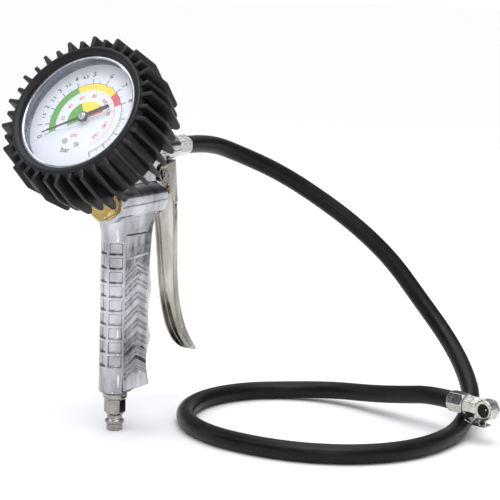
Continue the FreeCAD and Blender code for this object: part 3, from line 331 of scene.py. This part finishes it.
# ---------------------------------------------------------------- hose
HOSE_DIAMETER = 0.0115
LYING = 0.0058              # height of the hose's centre where it lies on the floor
CHUCK_START = Vector((0.1122, -0.1771, 0.0223))
CHUCK_HEADING = radians(-105.9)
CHUCK_ALONG = Vector((cos(CHUCK_HEADING), sin(CHUCK_HEADING), 0.0))
STRAIGHT_BEFORE_CHUCK = 0.017
HOSE_ROUTE = [
    (0.075, 0, 0.1715), (0.104, 0, 0.1715), (0.133, -0.008, 0.162), (0.155, -0.028, 0.149),
    (0.168, -0.053, 0.132), (0.175, -0.079, 0.114), (0.180, -0.103, 0.093), (0.179, -0.125, 0.069),
    (0.174, -0.148, 0.047), (0.159, -0.168, 0.029), (0.135, -0.183, 0.016), (0.106, -0.186, LYING),
    (0.073, -0.185, LYING), (0.044, -0.175, LYING), (0.021, -0.154, LYING), (0.007, -0.126, LYING),
    (0.003, -0.095, LYING), (0.007, -0.064, LYING), (0.023, -0.0375, LYING), (0.049, -0.021, LYING),
    (0.0795, -0.018, LYING), (0.108, -0.029, LYING), (0.129, -0.0525, LYING), (0.1375, -0.083, 0.0085),
    (0.1315, -0.113, 0.012), (0.124, -0.139, 0.017),
    tuple(CHUCK_START - CHUCK_ALONG * STRAIGHT_BEFORE_CHUCK), tuple(CHUCK_START),
]


def hose_line():
    curve = bpy.data.curves.new("hose_tube", "CURVE")
    curve.dimensions = "3D"
    spline = curve.splines.new("NURBS")
    spline.points.add(len(HOSE_ROUTE) - 1)
    for point, place in zip(spline.points, HOSE_ROUTE):
        point.co = (*place, 1.0)
    spline.order_u = 3
    spline.use_endpoint_u = True
    spline.resolution_u = 10
    curve.bevel_depth = HOSE_DIAMETER / 2
    curve.bevel_resolution = 10
    curve.use_fill_caps = True
    curve.materials.append(HOSE_RUBBER)
    made = bpy.data.objects.new("hose_tube", curve)
    SCENE.collection.objects.link(made)
    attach(made, "gun_body")
    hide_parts("hose")
    return made


hose_tube = hose_line()

# ---------------------------------------------------------------- metal pieces with rounded edges
softened("grip_casting", "grip_body", CAST_METAL, "gun_body", voxel=0.00030, rounds=6,
         keep=0.30)
softened("trigger_lever", "lever", LEVER_METAL, "trigger", voxel=0.00030, rounds=4,
         keep=0.35)
SMALL_METAL = [             # node, piece, finish, body, slot, voxel in metres
    ("air_inlet_plug", "inlet_plug", NICKEL, "gun_body", "nickel_steel", 0.00022),
    ("valve_cap", "brass_cap", BRASS, "gun_body", "bare_brass", 0.00022),
    ("hose_outlet_nut", "outlet_nut", PALE_NICKEL, "gun_body", "nickel_brass", 0.00020),
    ("hose_end_nut", "end_nut", PALE_NICKEL, "gun_body", "nickel_brass", 0.00020),
    ("chuck_body", "chuck_barrel", PALE_NICKEL, "gun_body", "nickel_brass", 0.00020),
    ("chuck_end_plug", "chuck_cap", PALE_NICKEL, "gun_body", "nickel_brass", 0.00018),
    ("chuck_clip", "clip_plate", PALE_NICKEL, "clip", "nickel_steel", 0.00016),
]
small = {name: softened(node, name, material, body, voxel)
         for node, name, material, body, slot, voxel in SMALL_METAL}

# ---------------------------------------------------------------- valve spring
VALVE_HEIGHT = 0.143
SPRING_START, SPRING_END = -0.016, 0.002        # along X, inside the chamber
SPRING_TURNS = 7
SPRING_MEAN_R = 0.0041
WIRE_R = 0.0005
STEPS_PER_TURN, WIRE_SIDES = 32, 12


def spring_coil():
    """Valve spring as swept wire in the chamber."""
    bm = bmesh.new()
    slope = (SPRING_END - SPRING_START - 2 * WIRE_R) / (2 * pi * SPRING_TURNS)
    around_wire = [2 * pi * side / WIRE_SIDES for side in range(WIRE_SIDES)]
    rings = []
    for step in range(SPRING_TURNS * STEPS_PER_TURN + 1):
        angle = 2 * pi * step / STEPS_PER_TURN
        outward = Vector((0, sin(angle), -cos(angle)))
        along = Vector((slope, SPRING_MEAN_R * cos(angle), SPRING_MEAN_R * sin(angle))).normalized()
        side = along.cross(outward)
        on_axis = Vector((SPRING_START + WIRE_R + slope * angle, 0, VALVE_HEIGHT))
        centre = on_axis + outward * SPRING_MEAN_R
        rings.append([bm.verts.new(centre + (outward * cos(turn) + side * sin(turn)) * WIRE_R)
                      for turn in around_wire])
    sweep(bm, rings)
    made = piece_from("spring_coil", mesh_of(bm, smooth_angle=60.0), WIRE_STEEL, "gun_body",
                      ["valve_spring"])
    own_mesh(made)


spring_coil()

# ---------------------------------------------------------------- gauge head
# From here to the pointer, sizes are in millimetres on the gauge's own axes: X to the dial's right,
# Y to its top and Z out of it towards the viewer, with Z = 0 at the bezel's front.
TILT = radians(33.0)
GAUGE_CENTRE = (-0.043, 0, 0.199)
DIAL_NORMAL = Vector((-cos(TILT), 0, sin(TILT)))
DIAL_RIGHT = Vector((0, -1, 0))
DIAL_UP = DIAL_NORMAL.cross(DIAL_RIGHT)
DIAL_AXES = Matrix((DIAL_RIGHT, DIAL_UP, DIAL_NORMAL)).transposed().to_4x4()
GAUGE = Matrix.Translation(GAUGE_CENTRE) @ DIAL_AXES @ Matrix.Scale(0.001, 4)


def gauge_piece(name, bm, material, body, replaced=(), smooth_angle=SMOOTH_ANGLE):
    bmesh.ops.transform(bm, matrix=GAUGE, verts=bm.verts)
    piece_from(name, mesh_of(bm, smooth_angle), material, body, replaced)


# ---------------------------------------------------------------- rubber boot
FIN_COUNT = 36
FIRST_TALL = 17.0           # degrees
FIN_ROOT_R, FIN_TIP_R = 41.0, 52.0
FIN_ROOT_HALF, FIN_TIP_HALF = 1.5, 1.0
FIN_ROUNDING = 0.55
TALL_FIN = [(FIN_ROOT_R, 2.3), (49.1, 2.6), (51.8, -17.0), (48.2, -36.0), (47.0, -37.4), (45.0, -37.4),
            (FIN_ROOT_R, -33.0)]
SHORT_FIN = [(FIN_ROOT_R, 2.2), (47.1, 2.4), (50.0, -17.0), (46.8, -35.4), (45.8, -36.8), (44.2, -36.8),
             (FIN_ROOT_R, -33.0)]
BOOT_SEGMENTS = 216
BOOT_SHELL = [              # from the inner front lip outwards, back along the shell and inside again
    (36.9, 0.1), (36.95, 0.7), (37.3, 1.3), (38.0, 2.0), (39.0, 2.7), (39.8, 3.0), (40.6, 3.1),
    (41.3, 3.0), (41.9, 2.6), (42.1, 2.0), (42.0, 1.5), (42.4, 1.2), (42.6, 0.8), (42.6, -2.4),
    (42.3, -3.0), (41.6, -3.4), (41.6, -33.0), (41.0, -33.6), (31.6, -33.6), (31.0, -33.2),
    (31.0, -32.2), (37.6, -31.2), (39.4, -29.4), (39.4, -9.2), (40.1, -9.2), (40.1, 0.1),
]


def add_fin(bm, outline, angle):
    """Radial fin, thinner at its outer edge, with all its edges rounded."""
    turn = Matrix.Rotation(radians(angle), 4, "Z")
    taper = (FIN_TIP_HALF - FIN_ROOT_HALF) / (FIN_TIP_R - FIN_ROOT_R)
    near, far = [[bm.verts.new(turn @ Vector((r, side * (FIN_ROOT_HALF + taper * (r - FIN_ROOT_R)), z)))
                  for r, z in outline] for side in (-1, 1)]
    prism(bm, far, near)
    edges = list({edge for corner in near + far for edge in corner.link_edges})
    bmesh.ops.bevel(bm, geom=edges, offset=FIN_ROUNDING, offset_type="OFFSET", segments=3, profile=0.5,
                    affect="EDGES")


def rubber_boot():
    bm = bmesh.new()
    revolve(bm, BOOT_SHELL, BOOT_SEGMENTS)
    for index in range(FIN_COUNT):
        outline = TALL_FIN if index % 2 == 0 else SHORT_FIN
        add_fin(bm, outline, FIRST_TALL + index * 360.0 / FIN_COUNT)
    gauge_piece("boot", bm, BOOT_RUBBER, "gun_body", ["rubber_boot"], smooth_angle=40.0)


rubber_boot()

# ---------------------------------------------------------------- dial print
DIAL_Z = -9.0
BAND_THICK, INK_THICK = 0.04, 0.05
BAR_ANGLES = [207.5, 192.0, 168.8, 145.3, 122.0, 98.8, 75.4, 51.6, 28.0, 4.2, -18.0, -40.0, -62.0]
BAR_PER_PSI = 0.0689476
PSI_TOP = 170
BAND_INNER, BAND_OUTER = 19.4, 23.6
PIE_INNER, PIE_OUTER = 2.2, 11.8
SECTOR_STEP = 3.0           # degrees
BANDS_TOP = 8               # bar; tenth ticks and the psi scale's ring start where the bands end
BANDS = [("green", 0, 4, BAND_GREEN), ("yellow", 4, 7, BAND_YELLOW), ("red", 7, BANDS_TOP, BAND_RED)]
WHOLE_TICK, HALF_TICK, TENTH_TICK = (27.0, 0.48), (25.6, 0.26), (25.0, 0.14)    # outer radius, width
PSI_TICK_LONG, PSI_TICK_SHORT, PSI_TICK_WIDTH = 2.1, 1.1, 0.20
BAR_RING_WIDTH, PSI_RING_WIDTH = 0.22, 0.16
LETTER_LIFT, LETTER_HALF, LETTER_BOLD = 0.03, 0.02, 0.035       # height, half thickness, added stroke


def bar_angle(value):
    """Angle of a pressure on the dial, whose first bar is shorter than the rest."""
    whole = min(int(value), len(BAR_ANGLES) - 2)
    return BAR_ANGLES[whole] + (BAR_ANGLES[whole + 1] - BAR_ANGLES[whole]) * (value - whole)


def add_sector(bm, inner, outer, low, high, thick):
    """Thin raised slab between two radii and two pressures in bar."""
    start, end = bar_angle(low), bar_angle(high)
    steps = max(1, int(abs(end - start) / SECTOR_STEP))
    rims = []
    for step in range(steps + 1):
        angle = radians(start + (end - start) * step / steps)
        rims.append([bm.verts.new((r * cos(angle), r * sin(angle), DIAL_Z + lift))
                     for r, lift in ((inner, 0), (outer, 0), (outer, thick), (inner, thick))])
    sweep(bm, rims)


def add_tick(bm, value, inner, outer, width):
    """Radial mark at a pressure in bar."""
    turn = Matrix.Rotation(radians(bar_angle(value)), 4, "Z")
    low, high = [[bm.verts.new(turn @ Vector((r, side * width / 2, DIAL_Z + lift)))
                  for r, side in ((inner, -1), (outer, -1), (outer, 1), (inner, 1))]
                 for lift in (0.0, INK_THICK)]
    prism(bm, low, high)


def dial_piece(name, bm, material):
    gauge_piece(name, bm, material, "gun_body")


def dial_bands():
    for name, low, high, material in BANDS:
        bm = bmesh.new()
        add_sector(bm, BAND_INNER, BAND_OUTER, low, high, BAND_THICK)
        add_sector(bm, PIE_INNER, PIE_OUTER, low, high, BAND_THICK)
        dial_piece("band_" + name, bm, material)


def dial_ticks():
    black, red = bmesh.new(), bmesh.new()
    bar_top = len(BAR_ANGLES) - 1
    for step in range(bar_top * 10 + 1):
        value = step / 10.0
        if step % 10 == 0:
            add_tick(black, value, BAND_OUTER, *WHOLE_TICK)
        elif step % 5 == 0:
            add_tick(black, value, BAND_OUTER, *HALF_TICK)
        elif value > BANDS_TOP:
            add_tick(black, value, BAND_OUTER, *TENTH_TICK)
    add_sector(black, BAND_OUTER, BAND_OUTER + BAR_RING_WIDTH, 0, bar_top, INK_THICK)
    for psi in range(0, PSI_TOP + 1, 5):
        length = PSI_TICK_LONG if psi % 10 == 0 else PSI_TICK_SHORT
        add_tick(red, psi * BAR_PER_PSI, BAND_INNER - length, BAND_INNER, PSI_TICK_WIDTH)
    add_sector(red, BAND_INNER - PSI_RING_WIDTH, BAND_INNER, BANDS_TOP, PSI_TOP * BAR_PER_PSI, INK_THICK)
    dial_piece("bar_ticks", black, PRINT_BLACK)
    dial_piece("psi_ticks", red, PRINT_RED)


def lettering(name, marks, material):
    """Joins short marks, each (text, x, y, size, turn in degrees), into one raised print."""
    bm = bmesh.new()
    for text, x, y, size, turn in marks:
        curve = bpy.data.curves.new("mark", "FONT")
        curve.body = text
        curve.size = size
        curve.extrude = LETTER_HALF
        curve.offset = LETTER_BOLD
        curve.align_x = "CENTER"
        curve.align_y = "CENTER"
        curve.resolution_u = 3
        work = bpy.data.objects.new("mark", curve)
        SCENE.collection.objects.link(work)
        depsgraph = bpy.context.evaluated_depsgraph_get()
        mesh = bpy.data.meshes.new_from_object(work.evaluated_get(depsgraph))
        place = Matrix.Translation((x, y, DIAL_Z + LETTER_LIFT))
        mesh.transform(place @ Matrix.Rotation(radians(turn), 4, "Z"))
        bm.from_mesh(mesh)
        bpy.data.objects.remove(work)
        bpy.data.meshes.remove(mesh)
    dial_piece(name, bm, material)


def round_the_dial(values, radius, size, scale=1.0):
    """Marks for numbers that stand at their pressure, each with its foot towards the centre.

    scale is the bar in one unit of the numbers.
    """
    marks = []
    for value in values:
        angle = bar_angle(value * scale)
        x, y = radius * cos(radians(angle)), radius * sin(radians(angle))
        marks.append((f"{value:g}", x, y, size, angle - 90))
    return marks


dial_bands()
dial_ticks()
whole_bars = round_the_dial(range(len(BAR_ANGLES)), radius=30.0, size=4.6)
half_bars = round_the_dial([1.5, 2.5, 3.5, 4.5], radius=29.2, size=3.2)
psi_twenties = round_the_dial(range(20, 161, 20), radius=15.2, size=3.4, scale=BAR_PER_PSI)
lettering("bar_numbers", whole_bars + half_bars + [("bar", -5.5, -21.0, 4.8, 0)], PRINT_BLACK)
lettering("psi_numbers", psi_twenties + [("psi", -3.2, -10.9, 3.8, 0)], PRINT_RED)

# ---------------------------------------------------------------- pointer
# A straight bar is given as (start, end) distance from the centre, (start, end) half width and
# (low, high) Z. The tail's distances are negative, since it points the other way.
NEEDLE_BAR = ((1.0, 27.0), (0.75, 0.22), (-6.15, -5.55))
TAIL_BAR = ((-0.5, -16.4), (0.9, 1.15), (-6.2, -5.4))
HUB_PROFILE = [(0.2, -6.6), (3.3, -6.6), (3.3, -5.9), (2.9, -5.5), (0.2, -5.5)]
CAP_PROFILE = [(0.7, -5.6), (2.4, -5.6), (2.4, -5.2), (2.0, -4.7), (1.6, -4.5), (1.4, -4.65),
               (1.3, -4.3), (0.9, -4.1), (0.7, -4.3)]
ROUND_END_STEPS, HUB_SEGMENTS = 8, 48


def capsule(bm, direction, reaches, halves, levels):
    """Bar with rounded ends along a direction in the dial's plane."""
    start, end = [direction * reach for reach in reaches]
    half_start, half_end = halves
    heading = atan2((end - start).y, (end - start).x)
    rim = []
    for centre, half, base in ((end, half_end, heading - pi / 2), (start, half_start, heading + pi / 2)):
        for step in range(ROUND_END_STEPS + 1):
            angle = base + pi * step / ROUND_END_STEPS
            rim.append((centre.x + half * cos(angle), centre.y + half * sin(angle)))
    lower, upper = [[bm.verts.new((x, y, level)) for x, y in rim] for level in levels]
    prism(bm, lower, upper)


def dial_pointer():
    """Thin needle, heavy rounded tail and turned hub."""
    rest = radians(BAR_ANGLES[0])
    direction = Vector((cos(rest), sin(rest), 0))
    blade = bmesh.new()
    capsule(blade, direction, *NEEDLE_BAR)
    capsule(blade, direction, *TAIL_BAR)
    revolve(blade, HUB_PROFILE, HUB_SEGMENTS)
    gauge_piece("needle_blade", blade, POINTER_BLACK, "needle", ["pointer"])
    cap = bmesh.new()
    revolve(cap, CAP_PROFILE, HUB_SEGMENTS)
    gauge_piece("needle_cap", cap, HUB_METAL, "needle")


dial_pointer()

# ---------------------------------------------------------------- floor and light
FLOOR_HALF = 200.0
MIDDLE = (0.03, -0.05, 0.12)
GAUGE_HEAD = (-0.02, 0.0, 0.17)
HOSE_BEND = (0.2, 0.0, 0.1)
ORIGIN = (0.0, 0.0, 0.0)


def stage_floor():
    """White matt floor, wide enough to reach the horizon."""
    mesh = bpy.data.meshes.new("floor")
    corners = [(x * FLOOR_HALF, y * FLOOR_HALF, 0) for x, y in ((-1, -1), (1, -1), (1, 1), (-1, 1))]
    mesh.from_pydata(corners, [], [(0, 1, 2, 3)])
    floor = bpy.data.objects.new("floor", mesh)
    SCENE.collection.objects.link(floor)
    paint = bpy.data.materials.new("floor_paint")
    paint.use_nodes = True
    shader = paint.node_tree.nodes["Principled BSDF"]
    shader.inputs["Base Color"].default_value = (0.93, 0.93, 0.94, 1.0)
    shader.inputs["Roughness"].default_value = 0.9
    shader.inputs["Specular IOR Level"].default_value = 0.1
    mesh.materials.append(paint)


def aimed_light(name, kind, place, target, energy):
    data = bpy.data.lights.new(name, kind)
    data.energy = energy
    light = bpy.data.objects.new(name, data)
    light.location = place
    light.rotation_euler = (Vector(target) - Vector(place)).to_track_quat("-Z", "Y").to_euler()
    SCENE.collection.objects.link(light)
    return data


def area_light(name, place, target, width, height, power, spread):
    """Rectangular lamp whose light leaves within spread degrees."""
    data = aimed_light(name, "AREA", place, target, power)
    data.shape = "RECTANGLE"
    data.size = width
    data.size_y = height
    data.spread = radians(spread)


def sun_light(name, place, target, strength, spread):
    """Sunlight from a disc in the sky that is spread degrees wide."""
    data = aimed_light(name, "SUN", place, target, strength)
    data.angle = radians(spread)


def studio_world():
    """Bands of grey and near black from side to side, an even grey overhead and white low down."""
    side_bands = [(0.0, 0.30), (0.14, 0.55), (0.24, 0.05), (0.36, 0.06), (0.45, 0.50), (0.60, 0.45),
                  (0.70, 0.06), (0.84, 0.20), (1.0, 0.40)]
    overhead_grey = (0.55, 0.56, 0.60)
    horizon_white = (1.05, 1.05, 1.07)
    bluer = 1.04
    world = bpy.data.worlds.new("studio")
    SCENE.world = world
    world.use_nodes = True
    tree = world.node_tree
    coords = tree.nodes.new("ShaderNodeTexCoord")
    split = tree.nodes.new("ShaderNodeSeparateXYZ")
    tree.links.new(coords.outputs["Generated"], split.inputs[0])
    across, upward = split.outputs["Y"], split.outputs["Z"]
    ramp = tree.nodes.new("ShaderNodeValToRGB")
    while len(ramp.color_ramp.elements) < len(side_bands):
        ramp.color_ramp.elements.new(0.5)
    for element, (place, value) in zip(ramp.color_ramp.elements, side_bands):
        element.position = place
        element.color = (value, value, value * bluer, 1.0)
    tree.links.new(remap(tree, across, low=-1.0, high=1.0), ramp.inputs[0])
    overhead = blended(tree, remap(tree, upward, low=0.35, high=0.9), ramp.outputs["Color"], overhead_grey)
    horizon = blended(tree, remap(tree, upward, low=0.045, high=0.13), horizon_white, overhead)
    background = tree.nodes["Background"]
    tree.links.new(horizon, background.inputs["Color"])
    background.inputs["Strength"].default_value = 1.0


stage_floor()
studio_world()
sun_light("overhead", (-0.2, 0.1, 1.5), ORIGIN, strength=2.0, spread=75.0)
area_light("key", (-0.5, -0.3, 1.5), MIDDLE, width=0.8, height=0.8, power=1.6, spread=100.0)
area_light("front", (-1.15, -0.75, 0.75), GAUGE_HEAD, width=0.5, height=0.5, power=0.26, spread=50.0)
area_light("strip", (-0.5, 1.2, 0.55), MIDDLE, width=0.25, height=1.2, power=0.7, spread=120.0)
area_light("back", (1.2, 0.5, 1.4), HOSE_BEND, width=0.9, height=0.9, power=1.6, spread=140.0)
